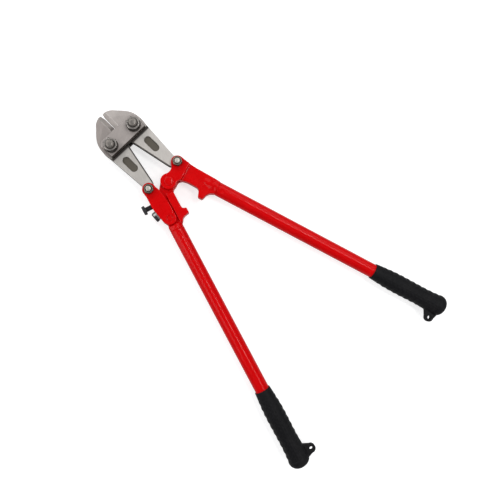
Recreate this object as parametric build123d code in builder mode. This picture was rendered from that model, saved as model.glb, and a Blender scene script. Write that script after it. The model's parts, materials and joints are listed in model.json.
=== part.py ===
from build123d import *
from math import cos, radians, sin
import os

# Bolt cutters lying flat, in millimetres. The origin is on the surface they lie on, under the
# handle pivot. +Y points from the handle pivot to the tips of the jaws, and +Z points up.

# Linkage
mid_height = 17.0  # middle of the jaws above the surface
jaw_pivot = (22.2, 92.8)  # right jaw bolt, the left one is its mirror image
tail_pivot = (28.8, 11.4)  # right tail bolt, where a jaw's tail meets its handle
left_spread = 17.6  # degrees from each handle tube to the tool's centre line, as it lies
right_spread = 17.0
left_reach = 21.7  # handle pivot to each tube's own centre line
right_reach = 25.2
closing_swing = 11.5  # degrees that each handle turns before the blades meet
jaw_ratio = 0.07  # degrees that a jaw turns for each degree of its handle
jaw_rest = closing_swing * jaw_ratio  # opening of each jaw as the tool lies
running = 0.06  # radial clearance of a pin that turns in its hole

# Jaws and the straps that join them
jaw_half = 5.5  # half the thickness of a jaw
tip_y = 137.0
edge_end_y = 109.0  # rear end of the cutting edge
relief_end_y = 130.5  # the tips are relieved in front of this line
tip_relief = 1.4
edge_gap = 0.06
edge_half = 0.45  # half the thickness left on the cutting edge
bevel_width = 6.5
heel_gap = 0.6
tail_radius = 8.5
recess_length = 26.5
recess_width = 11.4
recess_depth = 2.0
recess_centre = (21.6, 56.8)
strap_inside = 5.6
strap_outside = 10.6
strap_width = 66.0
strap_front_y = 107.5
strap_rear_y = 78.8

# Fasteners
jaw_bolt_radius = 6.0
jaw_nut_flats = 18.0
jaw_nut_height = 7.5
jaw_bolt_end = 26.0
lock_washer_thickness = 2.4
tail_bolt_radius = 4.0
tail_nut_flats = 13.0
tail_nut_height = 6.5
tail_head_height = 5.3
tail_bolt_end = 19.3
rivet_radius = 5.0
rivet_head_radius = 8.0
rivet_top = 14.6
rivet_foot_radius = 4.5

# Handle ends
ear_inside = 5.8
ear_outside = 10.8
ear_radius = 9.5
pivot_ear_radius = 11.9
web_half = 7.4  # half the thickness of the right handle end behind its ears
rib_half = 8.6  # half the thickness of the left handle end beside the arm
tongue_half = 5.4
tongue_radius = 11.3
pivot_slot_radius = 8.8  # clearance in the tongue, where the linkage is left open
arm_inside = 5.8
arm_outside = 10.6
arm_radius = 9.8
arm_end_radius = 9.6
arm_pin = (48.5, -2.0)  # in the left tube's frame
arm_pin_radius = 4.0
web_inner_y = -14.2
web_outer_y = -17.7
forging_edge_y = -11.6  # outer edge of the left handle end, where the push bolt bears
push_bolt_x = 20.6
push_bolt_radius = 3.9
push_head_y = -26.9
screw_flats = 12.0
lock_bolt_x = 36.0

# Tubes and grips
tube_radius = 10.5
tube_bore = 8.8
tube_start = 67.0
tube_end = 447.0
spigot_end = 100.0
spigot_radius = 8.75
grip_start = 330.0
grip_end = 454.5
grip_bore = 10.55
ear_hole = (438.8, 22.8)  # lanyard hole, along the tube and out from its centre line
ear_hole_radius = 2.75
lanyard_ear_half = 3.5
lanyard_ear_radius = 6.6


def level(height):
    """Horizontal plane at a height above the middle of the jaws."""
    return Plane.XY.offset(mid_height + height)


def handle_frame(spread, reach, side):
    """Plane through a tube's centre line: x runs down the tube from beside the handle pivot."""
    along = Vector(side * sin(radians(spread)), -cos(radians(spread)), 0)
    across = Vector(cos(radians(spread)), side * sin(radians(spread)), 0)
    origin = across * (side * reach) + Vector(0, 0, mid_height)
    return Plane(origin=origin, x_dir=along, z_dir=(0, 0, 1))


def in_frame(frame, x, y):
    """A point of the XY plane in a handle's own frame."""
    local = frame.to_local_coords(Vector(x, y, mid_height))
    return (local.X, local.Y)


def across_tube(frame, x):
    """Plane square to a tube at a distance along it."""
    origin = frame.from_local_coords(Vector(x, 0, 0))
    return Plane(origin=origin, x_dir=(0, 0, 1), z_dir=frame.x_dir)


def swung(x, y):
    """Rest position of a point that is drawn with the right jaw shut."""
    turn = radians(jaw_rest)
    across, forward = x - jaw_pivot[0], y - jaw_pivot[1]
    return (
        jaw_pivot[0] + across * cos(turn) + forward * sin(turn),
        jaw_pivot[1] - across * sin(turn) + forward * cos(turn),
    )


def save(part, name):
    part.label = name
    export_step(part, f"parts/{name}.step")


os.makedirs("parts", exist_ok=True)
left_frame = handle_frame(left_spread, left_reach, -1)
right_frame = handle_frame(right_spread, right_reach, 1)
left_pivot = in_frame(left_frame, 0, 0)
right_pivot = in_frame(right_frame, 0, 0)
left_tail = in_frame(left_frame, -tail_pivot[0], tail_pivot[1])
right_tail = in_frame(right_frame, tail_pivot[0], tail_pivot[1])

# Jaws: a broad nose with a bevelled cutting edge, and a tail with an oval recess on each face
tail_lower = (tail_pivot[0] - 6.5, tail_pivot[1] - 5.48)
tail_end = (tail_pivot[0] + 2.0, tail_pivot[1] - 8.26)
tail_upper = (tail_pivot[0] + 7.7, tail_pivot[1] + 3.6)
blade_turn = radians(jaw_rest)
blade_frame = Plane(
    origin=(*swung(0, edge_end_y), mid_height),
    x_dir=(cos(blade_turn), -sin(blade_turn), 0),
    z_dir=(sin(blade_turn), cos(blade_turn), 0),
)
with BuildPart() as jaw_right:
    with BuildSketch(level(-jaw_half)):
        with BuildLine():
            inner_edge = Polyline(
                swung(tip_relief, tip_y),
                swung(edge_gap, relief_end_y),
                swung(edge_gap, edge_end_y),
                (heel_gap + 0.6, edge_end_y - 3),
                (heel_gap, 101),
                (heel_gap, 87),
                (4.6, 73.0),
                (16.2, 17.5),
                tail_lower,
            )
            ThreePointArc(inner_edge @ 1, tail_end, tail_upper)
            outer_edge = Polyline(tail_upper, (32.0, 23.0), (35.9, 81.0), (36.6, 87.0))
            Spline(
                outer_edge @ 1,
                (37.0, 95.5),
                (33.2, 111.0),
                (19.8, 127.0),
                inner_edge @ 0,
                tangents=[(0.2, 1.0), (-1.0, 0.25)],
            )
        make_face()
    extrude(amount=2 * jaw_half)
    with BuildSketch(blade_frame):
        for face in (1, -1):
            Polygon(
                (-2, face * edge_half),
                (edge_gap, face * edge_half),
                (bevel_width, face * (jaw_half + 0.01)),
                (-2, face * (jaw_half + 0.01)),
                align=None,
            )
    extrude(amount=tip_y - edge_end_y + 5, mode=Mode.SUBTRACT)
    for face in (1, -1):
        with BuildSketch(level(face * jaw_half)):
            with Locations(recess_centre):
                SlotOverall(recess_length, recess_width, rotation=90)
        extrude(amount=-face * recess_depth, mode=Mode.SUBTRACT)
    with BuildSketch(level(-jaw_half)):
        with Locations(jaw_pivot):
            Circle(jaw_bolt_radius + running)
        with Locations(tail_pivot):
            Circle(tail_bolt_radius + running)
    extrude(amount=2 * jaw_half, mode=Mode.SUBTRACT)
save(jaw_right.part, "jaw_right")

with BuildPart() as jaw_left:
    mirror(jaw_right.part, about=Plane.YZ)
save(jaw_left.part, "jaw_left")


# Straps: one plate above the jaws and one below, held by the jaw bolts
def build_strap(bottom):
    with BuildPart() as strap:
        with BuildSketch(level(bottom)) as outline:
            with Locations((0, (strap_front_y + strap_rear_y) / 2)):
                Rectangle(strap_width, strap_front_y - strap_rear_y)
            fillet(outline.vertices().group_by(Axis.Y)[-1], 7)
            fillet(outline.vertices().group_by(Axis.Y)[0], 3)
            with Locations(jaw_pivot, (-jaw_pivot[0], jaw_pivot[1])):
                Circle(jaw_bolt_radius + 0.02, mode=Mode.SUBTRACT)
        extrude(amount=strap_outside - strap_inside)
        outer_face = strap.faces().sort_by(Axis.Z)[-1 if bottom > 0 else 0]
        chamfer(outer_face.outer_wire().edges(), 0.7)
    return strap.part


save(build_strap(strap_inside), "strap_upper")
save(build_strap(-strap_outside), "strap_lower")


# Fasteners: bolts with the head below, nuts and spring washers on top
def build_bolt(place, radius, flats, head_top, head_height, end, lead):
    with BuildPart() as bolt:
        with BuildSketch(level(head_top)):
            with Locations(place):
                RegularPolygon(flats / 2, 6, major_radius=False)
        extrude(amount=-head_height)
        with BuildSketch(level(head_top)):
            with Locations(place):
                Circle(radius)
        extrude(amount=end - head_top)
        chamfer(bolt.faces().sort_by(Axis.Z)[-1].edges(), lead)
    return bolt.part


def build_nut(place, radius, flats, seat, height):
    with BuildPart() as nut:
        with BuildSketch(level(seat)):
            with Locations(place):
                RegularPolygon(flats / 2, 6, major_radius=False)
                Circle(radius + 0.02, mode=Mode.SUBTRACT)
        extrude(amount=height)
    return nut.part


def build_washer(place, inner, outer, seat, thickness):
    with BuildPart() as washer:
        with BuildSketch(level(seat)):
            with Locations(place):
                Circle(outer)
                Circle(inner, mode=Mode.SUBTRACT)
        extrude(amount=thickness)
    return washer.part


jaw_washer_top = strap_outside + lock_washer_thickness
for name, side in (("left", -1), ("right", 1)):
    jaw_place = (side * jaw_pivot[0], jaw_pivot[1])
    tail_place = (side * tail_pivot[0], tail_pivot[1])
    head_height = mid_height - strap_outside
    jaw_bolt = build_bolt(
        jaw_place, jaw_bolt_radius, jaw_nut_flats, -strap_outside, head_height, jaw_bolt_end, 1.5
    )
    save(jaw_bolt, f"jaw_bolt_{name}")
    jaw_washer = build_washer(
        jaw_place, jaw_bolt_radius + 0.2, jaw_bolt_radius + 4.4, strap_outside, lock_washer_thickness
    )
    save(jaw_washer, f"jaw_washer_{name}")
    jaw_nut = build_nut(jaw_place, jaw_bolt_radius, jaw_nut_flats, jaw_washer_top, jaw_nut_height)
    save(jaw_nut, f"jaw_nut_{name}")
    seat = arm_outside if side < 0 else ear_outside
    tail_bolt = build_bolt(
        tail_place, tail_bolt_radius, tail_nut_flats, -seat - 0.1, tail_head_height, tail_bolt_end, 1.0
    )
    save(tail_bolt, f"tail_bolt_{name}")
    tail_nut = build_nut(tail_place, tail_bolt_radius, tail_nut_flats, seat + 0.1, tail_nut_height)
    save(tail_nut, f"tail_nut_{name}")

# Right handle end: two ears around the jaw's tail and the left tongue, one web behind them
ear_step_x = 14.5
right_stop_y = -25.7
right_axis = Axis(right_frame.origin, right_frame.x_dir)
with BuildPart() as knuckle_right:
    with BuildSketch(right_frame.offset(-ear_outside)) as ears:
        with BuildLine():
            Polyline(
                (right_tail[0], right_tail[1] + ear_radius),
                (8.5, 13.2),
                (ear_step_x, 12.4),
                (ear_step_x, -15.2),
                (11.5, -18.0),
                (10.8, -23.0),
                (-12.0, -25.0),
                (-11.0, -19.7),
                (-7.3, -15.3),
                (-5.6, -10.5),
                (-6.4, -5.0),
                (-10.4, 0.0),
                (right_tail[0], right_tail[1] + ear_radius),
            )
        make_face()
        with Locations(right_tail):
            Circle(ear_radius)
        with Locations((right_pivot[0] - 0.6, right_pivot[1] - 0.4)):
            Circle(pivot_ear_radius)
    extrude(amount=2 * ear_outside)
    with BuildSketch(right_frame.offset(-web_half)):
        with BuildLine():
            Polyline(
                (10, 12.6),
                (17.5, 12.2),
                (27, 11.5),
                (57, tube_radius + 0.2),
                (66, tube_radius - 0.5),
                (66, 0.5 - tube_radius),
                (60.5, -12.2),
                (56.6, -17.0),
                (54.8, -24.0),
                (53.4, right_stop_y),
                (46.8, right_stop_y),
                (44.8, -20.0),
                (42.8, -15.6),
                (39.5, -13.6),
                (23.0, -13.4),
                (16.0, -15.0),
                (10, -19.0),
                (10, 12.6),
            )
        make_face()
    extrude(amount=2 * web_half)
    with BuildSketch(right_frame):
        with BuildLine():
            Polyline(
                (36, 0),
                (36, web_half - 0.5),
                (58, tube_radius),
                (tube_start, tube_radius),
                (tube_start, spigot_radius),
                (spigot_end, spigot_radius),
                (spigot_end, 0),
                (36, 0),
            )
        make_face()
    revolve(axis=right_axis)
    with BuildSketch(right_frame.offset(-ear_inside)):
        with Locations(right_tail):
            Circle(tail_radius + 1.2)
        with Locations(right_pivot):
            Circle(15.5)
        with Locations((-22, -12)):
            Rectangle(40, 70)
        with Locations((2, -11)):
            Rectangle(12, 24)
        with Locations((4, -31)):
            Rectangle(30, 28)
    extrude(amount=2 * ear_inside, mode=Mode.SUBTRACT)
    with BuildSketch(right_frame.offset(-ear_outside)):
        with Locations(right_tail):
            Circle(tail_bolt_radius + running)
        with Locations(right_pivot):
            Circle(rivet_radius + 0.02)
    extrude(amount=2 * ear_outside, mode=Mode.SUBTRACT)
save(knuckle_right.part, "knuckle_right")

with BuildPart() as pivot_rivet:
    with BuildSketch(Plane.XZ):
        with BuildLine():
            foot = Polyline((0, 0), (rivet_foot_radius, 0))
            under = mid_height - ear_outside
            ThreePointArc(foot @ 1, (rivet_head_radius - 1.0, under * 0.45), (rivet_head_radius, under))
            Polyline(
                (rivet_head_radius, under),
                (rivet_radius, under),
                (rivet_radius, mid_height + ear_outside),
                (rivet_head_radius, mid_height + ear_outside),
            )
            dome = TangentArc(
                (0, mid_height + rivet_top), (rivet_head_radius, mid_height + ear_outside), tangent=(1, 0)
            )
            Line(dome @ 0, (0, 0))
        make_face()
    revolve(axis=Axis.Z)
save(pivot_rivet.part, "pivot_rivet")

# Left handle end: a tongue for the handle pivot, with a rib and a stop beside the adjusting arm
left_stop_y = 26.4
rib_start_x = 15.5
boss_start = 59.0
slot_centre = (left_pivot[0] - 1.8, left_pivot[1] + 1.0)
left_axis = Axis(left_frame.origin, left_frame.x_dir)
stop_outline = [
    (60.5, 12.8),
    (56.5, 15.0),
    (54.6, 19.0),
    (53.2, left_stop_y),
    (44.9, left_stop_y),
    (43.4, 21.8),
    (41.5, 20.4),
    (rib_start_x, 20.4),
]

with BuildPart() as knuckle_left:
    with BuildSketch(left_frame.offset(-tongue_half)):
        with BuildLine():
            Polyline(
                (63.0, 10.3),
                *stop_outline,
                (12.8, 23.0),
                (10.5, 27.0),
                (0.0, 24.0),
                (-11.0, 17.0),
                (-4.6, 9.8),
                (1.5, 5.2),
                (7.8, 0.5),
                (9.0, -5.0),
                (11.0, forging_edge_y),
                (28.0, forging_edge_y),
                (38.0, -8.8),
                (52.0, -8.8),
                (63.0, -10.3),
                (63.0, 10.3),
            )
        make_face()
        with Locations(slot_centre):
            Circle(tongue_radius)
    extrude(amount=2 * tongue_half)
    with BuildSketch(left_frame.offset(-rib_half)):
        with BuildLine():
            Polyline((rib_start_x, 8.6), (60.5, 8.6), *stop_outline, (rib_start_x, 8.6))
        make_face()
    extrude(amount=2 * rib_half)
    with BuildSketch(left_frame):
        with BuildLine():
            Polyline(
                (54, 0),
                (54, tongue_half - 0.5),
                (boss_start, tongue_half - 0.5),
                (boss_start, tube_radius),
                (tube_start, tube_radius),
                (tube_start, spigot_radius),
                (spigot_end, spigot_radius),
                (spigot_end, 0),
                (54, 0),
            )
        make_face()
    revolve(axis=left_axis)
    with BuildSketch(left_frame.offset(-rib_half)):
        with Locations(slot_centre):
            Circle(pivot_slot_radius)
        with Locations(arm_pin):
            Circle(arm_pin_radius + running)
    extrude(amount=2 * rib_half, mode=Mode.SUBTRACT)
save(knuckle_left.part, "knuckle_left")

# Adjusting arm: a channel that carries the left tail bolt and turns on a pin in the handle end
slope_start = (25.0, web_outer_y)
slope_end = (49.5, -12.4)
web_thickness = web_inner_y - web_outer_y
web_end_x = 44.0
web_rise = (slope_end[1] - web_outer_y) / (slope_end[0] - slope_start[0])
web_end_y = web_outer_y + web_rise * (web_end_x - slope_start[0])
with BuildPart() as adjuster_arm:
    with BuildSketch(left_frame.offset(-arm_outside)):
        with BuildLine():
            Polyline(
                (left_tail[0], web_outer_y),
                slope_start,
                slope_end,
                (arm_pin[0] + 4.0, -10.7),
                (arm_pin[0] + 4.0, 6.8),
                (arm_pin[0], 7.6),
                (34.0, 7.6),
                (15.0, 5.6),
                (5.0, 3.6),
                (left_tail[0], left_tail[1] + arm_radius),
                (left_tail[0], web_outer_y),
            )
        make_face()
        with Locations(left_tail):
            Circle(arm_radius)
        with Locations(arm_pin):
            Circle(arm_end_radius)
    extrude(amount=2 * arm_outside)
    with BuildSketch(left_frame.offset(-arm_inside)):
        with BuildLine():
            Polyline(
                (-30, 20),
                (-30, -30),
                (10, -30),
                (10, web_inner_y),
                (slope_start[0], web_inner_y),
                (web_end_x, web_end_y + web_thickness),
                (web_end_x, -30),
                (90, -30),
                (90, 20),
                (-30, 20),
            )
        make_face()
    extrude(amount=2 * arm_inside, mode=Mode.SUBTRACT)
    with BuildSketch(left_frame.offset(-arm_outside)):
        with Locations(left_tail):
            Circle(tail_bolt_radius + running)
        with Locations(arm_pin):
            Circle(arm_pin_radius + 0.02)
    extrude(amount=2 * arm_outside, mode=Mode.SUBTRACT)
    push_hole = Plane(
        origin=left_frame.from_local_coords(Vector(push_bolt_x, web_outer_y - 1, 0)),
        x_dir=left_frame.x_dir,
        z_dir=left_frame.y_dir,
    )
    with BuildSketch(push_hole):
        Circle(push_bolt_radius + running)
    extrude(amount=web_thickness + 2, mode=Mode.SUBTRACT)
    slope = (Vector(*slope_end) - Vector(*slope_start)).normalized()
    along_slope = left_frame.x_dir * slope.X + left_frame.y_dir * slope.Y
    into_slope = left_frame.y_dir * slope.X - left_frame.x_dir * slope.Y
    lock_y = slope_start[1] + (lock_bolt_x - slope_start[0]) * slope.Y / slope.X
    lock_seat = left_frame.from_local_coords(Vector(lock_bolt_x, lock_y, 0))
    with BuildSketch(Plane(origin=lock_seat - into_slope, x_dir=along_slope, z_dir=into_slope)):
        Circle(push_bolt_radius + 0.02)
    extrude(amount=web_thickness + 2, mode=Mode.SUBTRACT)
save(adjuster_arm.part, "adjuster_arm")

with BuildPart() as arm_pivot_pin:
    with BuildSketch(left_frame.offset(-arm_outside)):
        with Locations(arm_pin):
            Circle(arm_pin_radius)
    extrude(amount=2 * arm_outside)
save(arm_pivot_pin.part, "arm_pivot_pin")


# Push bolt and lock bolt, both screwed in through the arm's web
def build_screw(seat, axis_dir, x_dir, head_gap, head_height, reach):
    with BuildPart() as screw:
        with BuildSketch(Plane(origin=seat - axis_dir * head_gap, x_dir=x_dir, z_dir=-axis_dir)):
            RegularPolygon(screw_flats / 2, 6, major_radius=False)
        extrude(amount=head_height)
        with BuildSketch(Plane(origin=seat - axis_dir * head_gap, x_dir=x_dir, z_dir=axis_dir)):
            Circle(push_bolt_radius)
        extrude(amount=head_gap + reach)
    return screw.part


push_seat = left_frame.from_local_coords(Vector(push_bolt_x, web_outer_y, 0))
push_reach = forging_edge_y - 0.15 - web_outer_y
push_gap = web_outer_y - push_head_y
push_bolt = build_screw(push_seat, left_frame.y_dir, left_frame.x_dir, push_gap, 4.5, push_reach)
save(push_bolt, "adjusting_bolt")
lock_bolt = build_screw(lock_seat, into_slope, along_slope, 1.9, 4.8, web_thickness - 0.4)
save(lock_bolt, "lock_bolt")
with BuildPart() as lock_washer:
    with BuildSketch(Plane(origin=lock_seat, x_dir=along_slope, z_dir=-into_slope)):
        Circle(6.3)
        Circle(push_bolt_radius + 0.2, mode=Mode.SUBTRACT)
    extrude(amount=1.9)
save(lock_washer.part, "lock_washer")


# Handle tubes and their moulded grips, each with a lanyard ear on its inner side
def build_tube(frame):
    with BuildPart() as tube:
        with BuildSketch(across_tube(frame, tube_start)):
            Circle(tube_radius)
            Circle(tube_bore, mode=Mode.SUBTRACT)
        extrude(amount=tube_end - tube_start)
    return tube.part


def build_grip(frame, inward):
    hole = (ear_hole[0], inward * ear_hole[1])
    with BuildPart() as grip:
        with BuildSketch(frame):
            with BuildLine():
                collar = Polyline((grip_start, 0), (grip_start, 11.9), (grip_start + 9, 12.6))
                body = Spline(
                    collar @ 1,
                    (grip_start + 22, 14.0),
                    (grip_start + 70, 14.5),
                    (grip_end - 14, 15.8),
                )
                shoulder = ThreePointArc(body @ 1, (grip_end - 3.2, 12.4), (grip_end, 5.0))
                Polyline(shoulder @ 1, (grip_end, 0), (grip_start, 0))
            make_face()
        revolve(axis=Axis(frame.origin, frame.x_dir))
        with BuildSketch(frame.offset(-lanyard_ear_half)):
            with BuildLine():
                Polyline(
                    (hole[0] - 13.5, inward * 8),
                    (hole[0] - 11.5, inward * 14),
                    (hole[0] - 4.5, hole[1] + inward * 4.7),
                    (hole[0] + 4.5, hole[1] + inward * 4.7),
                    (hole[0] + 8.5, inward * 16.5),
                    (hole[0] + 10, inward * 8),
                    (hole[0] - 13.5, inward * 8),
                )
            make_face()
            with Locations(hole):
                Circle(lanyard_ear_radius)
        extrude(amount=2 * lanyard_ear_half)
        with BuildSketch(frame.offset(-lanyard_ear_half)):
            with Locations(hole):
                Circle(ear_hole_radius)
        extrude(amount=2 * lanyard_ear_half, mode=Mode.SUBTRACT)
        with BuildSketch(across_tube(frame, grip_start)):
            Circle(grip_bore)
        extrude(amount=tube_end + 0.5 - grip_start, mode=Mode.SUBTRACT)
    return grip.part


save(build_tube(left_frame), "tube_left")
save(build_tube(right_frame), "tube_right")
save(build_grip(left_frame, 1), "grip_left")
save(build_grip(right_frame, -1), "grip_right")
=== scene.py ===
import json
import math

import bmesh
import bpy
import numpy as np
from mathutils import Matrix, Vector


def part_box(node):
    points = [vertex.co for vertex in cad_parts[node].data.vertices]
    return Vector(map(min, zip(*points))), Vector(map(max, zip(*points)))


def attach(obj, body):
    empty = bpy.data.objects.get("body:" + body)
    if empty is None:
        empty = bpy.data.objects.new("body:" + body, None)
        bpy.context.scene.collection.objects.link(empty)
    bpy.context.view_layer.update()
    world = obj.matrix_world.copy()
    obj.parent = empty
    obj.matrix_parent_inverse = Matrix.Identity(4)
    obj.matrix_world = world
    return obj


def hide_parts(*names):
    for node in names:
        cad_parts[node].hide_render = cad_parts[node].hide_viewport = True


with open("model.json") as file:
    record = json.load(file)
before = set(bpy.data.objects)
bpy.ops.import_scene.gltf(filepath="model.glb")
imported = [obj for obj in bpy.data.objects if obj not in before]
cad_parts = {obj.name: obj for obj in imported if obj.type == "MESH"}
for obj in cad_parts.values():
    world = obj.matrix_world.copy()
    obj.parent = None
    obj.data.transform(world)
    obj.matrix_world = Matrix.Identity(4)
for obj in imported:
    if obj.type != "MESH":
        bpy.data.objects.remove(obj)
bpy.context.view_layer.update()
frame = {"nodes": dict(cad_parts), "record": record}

mm = 0.001
midHeight = 17.0 * mm  # middle of the jaws above the floor
bodyOfNode = {n: b for b, ns in frame["record"]["behaviour"]["bodies"].items() for n in ns}
scene = bpy.context.scene
scene.view_settings.view_transform = "Standard"
print("frame loaded,", len(frame["nodes"]), "nodes")


# Handle frames: x runs down the tube, y across it, z up, as the knuckles were drawn
def handleFrame(spread, reach, side):
    turn = math.radians(spread)
    along = np.array([side * math.sin(turn), -math.cos(turn), 0.0])
    across = np.array([math.cos(turn), side * math.sin(turn), 0.0])
    origin = across * side * reach + np.array([0.0, 0.0, 17.0])
    return {"origin": origin, "x": along, "y": across, "z": np.array([0.0, 0.0, 1.0])}


handles = {
    "left": handleFrame(17.6, 21.7, -1),
    "right": handleFrame(17.0, 25.2, 1),
}
upright = {
    "origin": np.zeros(3), "x": np.array([1.0, 0, 0]), "y": np.array([0, 1.0, 0]), "z": np.array([0, 0, 1.0]),
}


def intoFrame(points, local):
    offset = points / mm - local["origin"]
    return np.stack([offset @ local["x"], offset @ local["y"], offset @ local["z"]], axis=-1)


def outOfFrame(points, local):
    x, y, z = points[..., 0:1], points[..., 1:2], points[..., 2:3]
    return (local["origin"] + x * local["x"] + y * local["y"] + z * local["z"]) * mm


def smoothStep(value, low, high):
    # 0 below low, 1 above high, and 3t^2 - 2t^3 between them
    t = np.clip((value - low) / (high - low), 0.0, 1.0)
    return t * t * (3.0 - 2.0 * t)


# Camera: looks down at the tool from its handle side, turned so that the jaws point up and left
cameraSetup = {
    "target": (12.435, -153.526, 17.0),
    "distance": 708.27,
    "azimuth": -105.25,
    "elevation": 83.238,
    "roll": 59.707,
    "lens": 34.56,
}


def placeCamera(setup):
    a, e, r = (math.radians(setup[k]) for k in ("azimuth", "elevation", "roll"))
    back = np.array([math.cos(e) * math.sin(a), -math.cos(e) * math.cos(a), math.sin(e)])
    side = np.cross(-back, [0, 0, 1.0])
    side /= np.linalg.norm(side)
    top = np.cross(side, -back)
    right = side * math.cos(r) + top * math.sin(r)
    up = -side * math.sin(r) + top * math.cos(r)
    data = bpy.data.cameras.new("camera")
    data.sensor_width = 36.0
    data.lens = setup["lens"]
    data.clip_start, data.clip_end = 0.01, 20.0
    camera = bpy.data.objects.new("camera", data)
    scene.collection.objects.link(camera)
    spot = (np.array(setup["target"]) + back * setup["distance"]) * mm
    matrix = np.eye(4)
    matrix[:3, 0], matrix[:3, 1], matrix[:3, 2], matrix[:3, 3] = right, up, back, spot
    camera.matrix_world = Matrix(matrix.tolist())
    scene.camera = camera


placeCamera(cameraSetup)
print("camera placed")


# Node helpers
def addNode(tree, kind, inputs=None, **settings):
    node = tree.nodes.new(kind)
    for key, value in settings.items():
        setattr(node, key, value)
    for key, value in (inputs or {}).items():
        if isinstance(value, bpy.types.NodeSocket):
            tree.links.new(value, node.inputs[key])
        else:
            node.inputs[key].default_value = value
    return node


def maths(tree, operation, first, second=0.0, third=0.0):
    node = addNode(tree, "ShaderNodeMath", {0: first, 1: second, 2: third}, operation=operation)
    return node.outputs[0]


def mapRange(tree, value, fromLow, fromHigh, toLow=0.0, toHigh=1.0):
    inputs = {"Value": value, "From Min": fromLow, "From Max": fromHigh, "To Min": toLow, "To Max": toHigh}
    return addNode(tree, "ShaderNodeMapRange", inputs).outputs[0]


def objectCoords(tree):
    return addNode(tree, "ShaderNodeTexCoord").outputs["Object"]


def noise(tree, coords, scale, detail, roughness):
    inputs = {"Vector": coords, "Scale": scale, "Detail": detail, "Roughness": roughness}
    return addNode(tree, "ShaderNodeTexNoise", inputs).outputs["Fac"]


# Soft light from large panels round the tool, and a pale floor
studio = {
    "worldColour": (0.95, 0.96, 1.0),
    "worldStrength": 0.22,
    "backdropStrength": 0.85,
    "floorColour": 0.5,
    "floorLift": 0.66,
    "floorGlow": 0.2,
    "floorSize": 8.0,
    "panels": [  # position, width, depth, watts
        ((-1.25, 0.55, 1.45), 1.0, 1.6, 14.0),
        ((1.35, 0.25, 1.25), 1.0, 1.6, 11.0),
        ((0.1, 1.65, 1.25), 1.7, 0.8, 17.0),
        ((0.0, -1.75, 1.2), 1.7, 0.8, 10.0),
        ((0.58, -0.46, 1.6), 0.25, 1.08, 11.0),
        ((-1.6, 0.75, 0.42), 1.2, 0.5, 5.0),
        ((1.7, 0.75, 0.3), 1.2, 0.4, 1.4),
    ],
}


def aimAt(obj, target):
    direction = np.array(target) - np.array(obj.location)
    direction /= np.linalg.norm(direction)
    side = np.cross(direction, [0.0, 1.0, 0.01])
    side /= np.linalg.norm(side)
    top = np.cross(side, direction)
    matrix = np.eye(4)
    matrix[:3, 0], matrix[:3, 1], matrix[:3, 2], matrix[:3, 3] = side, top, -direction, obj.location
    obj.matrix_world = Matrix(matrix.tolist())


def buildStudio(setup):
    world = bpy.data.worlds.new("softSky")
    world.use_nodes = True
    sky = world.node_tree.nodes["Background"]
    sky.inputs["Color"].default_value = (*setup["worldColour"], 1.0)
    # the backdrop behind the floor is brighter than the light it gives
    seen = addNode(world.node_tree, "ShaderNodeLightPath").outputs["Is Camera Ray"]
    extra = setup["backdropStrength"] - setup["worldStrength"]
    strength = maths(world.node_tree, "MULTIPLY_ADD", seen, extra, setup["worldStrength"])
    world.node_tree.links.new(strength, sky.inputs["Strength"])
    scene.world = world
    for number, (spot, width, depth, watts) in enumerate(setup["panels"]):
        data = bpy.data.lights.new(f"panel{number}", "AREA")
        data.shape = "RECTANGLE"
        data.size, data.size_y, data.energy = width, depth, watts
        panel = bpy.data.objects.new(f"panel{number}", data)
        scene.collection.objects.link(panel)
        panel.location = spot
        aimAt(panel, (0.0, -0.13, 0.0))
    half = setup["floorSize"] / 2
    mesh = bpy.data.meshes.new("floor")
    corners = np.array([[-1, -1, 0], [1, -1, 0], [1, 1, 0], [-1, 1, 0]]) * half
    mesh.from_pydata((corners + [0, 0, -0.0003]).tolist(), [], [[0, 1, 2, 3]])
    floor = bpy.data.objects.new("floor", mesh)
    scene.collection.objects.link(floor)
    material = bpy.data.materials.new("paleFloor")
    material.use_nodes = True
    shader = material.node_tree.nodes["Principled BSDF"]
    shader.inputs["Base Color"].default_value = (*[setup["floorColour"]] * 3, 1.0)
    shader.inputs["Roughness"].default_value = 0.9
    shader.inputs["Specular IOR Level"].default_value = 0.1
    shader.inputs["Emission Color"].default_value = (1.0, 1.0, 1.0, 1.0)
    # the floor looks lifted to white, and throws less of that back on the tool
    seen = addNode(material.node_tree, "ShaderNodeLightPath").outputs["Is Camera Ray"]
    lift = maths(
        material.node_tree, "MULTIPLY_ADD", seen, setup["floorLift"] - setup["floorGlow"], setup["floorGlow"]
    )
    material.node_tree.links.new(lift, shader.inputs["Emission Strength"])
    mesh.materials.append(material)


buildStudio(studio)
print("floor and lights placed")


# Node helpers for the materials
def mixColour(tree, factor, first, second, blend="MIX"):
    node = tree.nodes.new("ShaderNodeMix")
    node.data_type, node.blend_type = "RGBA", blend
    for key, value in (("Factor_Float", factor), ("A_Color", first), ("B_Color", second)):
        socket = next(s for s in node.inputs if s.identifier == key)
        if isinstance(value, bpy.types.NodeSocket):
            tree.links.new(value, socket)
        else:
            socket.default_value = value
    return next(s for s in node.outputs if s.identifier == "Result_Color")


def newGroup(name, inputs, outputs):
    group = bpy.data.node_groups.new(name, "ShaderNodeTree")
    for label, kind, value in inputs:
        socket = group.interface.new_socket(label, in_out="INPUT", socket_type=kind)
        socket.default_value = value
    for label, kind in outputs:
        group.interface.new_socket(label, in_out="OUTPUT", socket_type=kind)
    return group, group.nodes.new("NodeGroupInput").outputs, group.nodes.new("NodeGroupOutput").inputs


number, vector = "NodeSocketFloat", "NodeSocketVector"


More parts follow.
